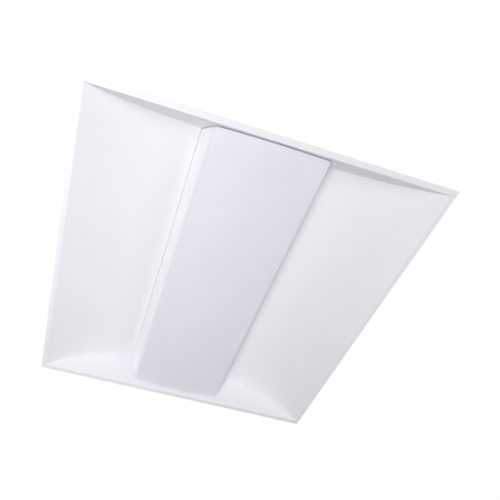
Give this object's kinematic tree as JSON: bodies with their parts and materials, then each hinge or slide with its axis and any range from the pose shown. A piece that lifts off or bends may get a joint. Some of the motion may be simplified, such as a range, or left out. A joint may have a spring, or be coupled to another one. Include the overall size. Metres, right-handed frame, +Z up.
{
  "type": "recessed troffer light",
  "caption": "Square lay-in ceiling troffer with two curved white reflector wings, a bowed opal centre lens, swing-out grid clips and a hinged wiring door on the back.",
  "frame": {"origin": "centre of the plane in which the flange rests on the ceiling tees", "axes": "+Z up into the ceiling void; Y along the lens; the room is at -Z"},
  "size_m": [0.603, 0.603, 0.0955],
  "materials": {
    "white_enamel": "baked white polyester powder, low sheen",
    "white_tray": "high-reflectance white coil coating",
    "opal_acrylic": "extruded satin opal",
    "galvanised_sheet": "hot-dip galvanised, faint spangle",
    "zinc_steel": "bright zinc plate",
    "spring_steel": "bright rolled spring strip",
    "rivet_aluminium": "headed aluminium",
    "zinc_screw": "bright zinc plate",
    "green_screw": "green dyed zinc",
    "tinned_brass": "tinned",
    "board_mask": "white solder mask",
    "led_phosphor": "silicone over phosphor",
    "white_nylon": "moulded nylon",
    "black_nylon": "moulded nylon",
    "driver_enamel": "white stoved enamel",
    "circuit_green": "green solder mask",
    "terminal_grey": "moulded polycarbonate",
    "orange_polycarbonate": "moulded polycarbonate",
    "black_lead": "extruded PVC insulation",
    "white_lead": "extruded PVC insulation",
    "green_lead": "extruded PVC insulation",
    "red_lead": "extruded PVC insulation",
    "blue_lead": "extruded PVC insulation"
  },
  "bodies": {
    "root": {"left_wing": "white_enamel", "right_wing": "white_enamel", "near_end_plate": "white_enamel", "far_end_plate": "white_enamel", "grid_clip_rivets": "rivet_aluminium", "lens_springs": "spring_steel", "lens_spring_rivets": "rivet_aluminium", "led_tray": "white_tray", "tray_bushing": "black_nylon", "left_led_board": "board_mask", "right_led_board": "board_mask", "left_leds": "led_phosphor", "right_leds": "led_phosphor", "board_plugs": "white_nylon", "board_screws": "zinc_screw", "board_jumper": "white_lead", "jumper_saddle": "white_nylon", "driver_channel": "galvanised_sheet", "driver_base": "galvanised_sheet", "driver_lid": "driver_enamel", "driver_circuit": "circuit_green", "driver_input_terminals": "terminal_grey", "driver_output_terminals": "terminal_grey", "driver_screws": "zinc_screw", "supply_connector_plug": "orange_polycarbonate", "line_lead": "black_lead", "neutral_lead": "white_lead", "ground_lead": "green_lead", "ground_lug": "tinned_brass", "ground_screw": "green_screw", "led_lead_positive": "red_lead", "led_lead_negative": "blue_lead", "end_plate_screws": "zinc_screw", "channel_screws": "zinc_screw"},
    "lens": {"center_lens": "opal_acrylic", "near_lens_cap": "opal_acrylic", "far_lens_cap": "opal_acrylic"},
    "door": {"access_door": "galvanised_sheet", "access_door_screw": "zinc_screw"},
    "near_left_clip": {"near_left_grid_clip": "zinc_steel"},
    "near_right_clip": {"near_right_grid_clip": "zinc_steel"},
    "far_left_clip": {"far_left_grid_clip": "zinc_steel"},
    "far_right_clip": {"far_right_grid_clip": "zinc_steel"},
    "supply_socket": {"supply_connector_socket": "orange_polycarbonate"}
  },
  "joints": [
    {"name": "lens_drop", "type": "slide", "parent": "root", "child": "lens", "axis": [0, 0, -1], "range_m": [0, 0.08]},
    {"name": "door_hinge", "type": "hinge", "parent": "root", "child": "door", "pos_m": [0, -0.13608, 0.09205], "axis": [-1, 0, 0], "range_deg": [0, 100]},
    {"name": "near_left_clip_swing", "type": "hinge", "parent": "root", "child": "near_left_clip", "pos_m": [-0.246, -0.284, 0.0467], "axis": [0, 0, -1], "range_deg": [0, 90]},
    {"name": "near_right_clip_swing", "type": "hinge", "parent": "root", "child": "near_right_clip", "pos_m": [0.246, -0.284, 0.0467], "axis": [0, 0, 1], "range_deg": [0, 90]},
    {"name": "far_left_clip_swing", "type": "hinge", "parent": "root", "child": "far_left_clip", "pos_m": [-0.246, 0.284, 0.0467], "axis": [0, 0, 1], "range_deg": [0, 90]},
    {"name": "far_right_clip_swing", "type": "hinge", "parent": "root", "child": "far_right_clip", "pos_m": [0.246, 0.284, 0.0467], "axis": [0, 0, -1], "range_deg": [0, 90]},
    {"name": "supply_unplug", "type": "slide", "parent": "root", "child": "supply_socket", "axis": [0, -1, 0], "range_m": [0, 0.02]}
  ]
}
